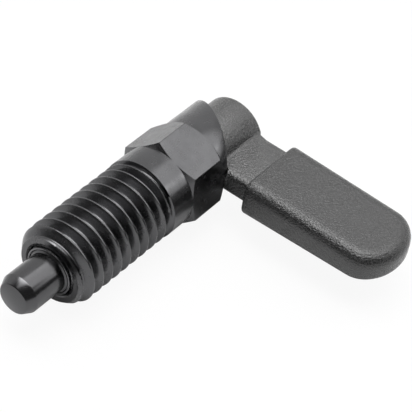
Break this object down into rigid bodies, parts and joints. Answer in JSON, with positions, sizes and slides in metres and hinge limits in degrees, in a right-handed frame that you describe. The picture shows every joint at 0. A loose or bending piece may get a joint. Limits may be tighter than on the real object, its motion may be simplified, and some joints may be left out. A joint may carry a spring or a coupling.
{
  "type": "locking bolt",
  "caption": "Cam-action locking bolt: threaded steel body with a hexagon, spring-loaded pin, and a flat lever with a plastic grip that draws the pin in when turned half round.",
  "frame": {"origin": "on the bolt's axis, in the plane where the thread ends and the plain neck begins", "axes": "+X along the bolt's axis, the way the pin points; +Y the way the lever points at rest; +Z normal to the lever's flat upper side"},
  "size_m": [0.0388, 0.0311, 0.0114],
  "materials": {
    "blackened_steel": "black oxide on turned and milled steel",
    "bush_steel": "black oxide, turned",
    "pin_steel": "hardened, ground and blackened",
    "spring_wire": "drawn spring wire",
    "black_casting": "textured black powder coat on a zinc casting",
    "cross_pin_steel": "plain hardened dowel",
    "grip_plastic": "fine grained dark grey moulding"
  },
  "bodies": {
    "bolt_body": {"threaded_body": "blackened_steel", "guide_bush": "bush_steel"},
    "pin_assembly": {"locking_pin": "pin_steel", "compression_spring": "spring_wire"},
    "lever_assembly": {"lever": "black_casting", "cross_pin": "cross_pin_steel", "grip_sleeve": "grip_plastic"}
  },
  "joints": [
    {"name": "pin_lift", "type": "slide", "parent": "bolt_body", "child": "pin_assembly", "axis": [-1, 0, 0], "range_m": [0, 0.007], "deforming": ["compression_spring"]},
    {"name": "lever_turn", "type": "hinge", "parent": "pin_assembly", "child": "lever_assembly", "pos_m": [0, 0, 0], "axis": [1, 0, 0], "range_deg": [0, 180]}
  ],
  "couplings": [
    {"joint": "pin_lift", "follows": "lever_turn", "m_per_rad": 0.002228}
  ]
}
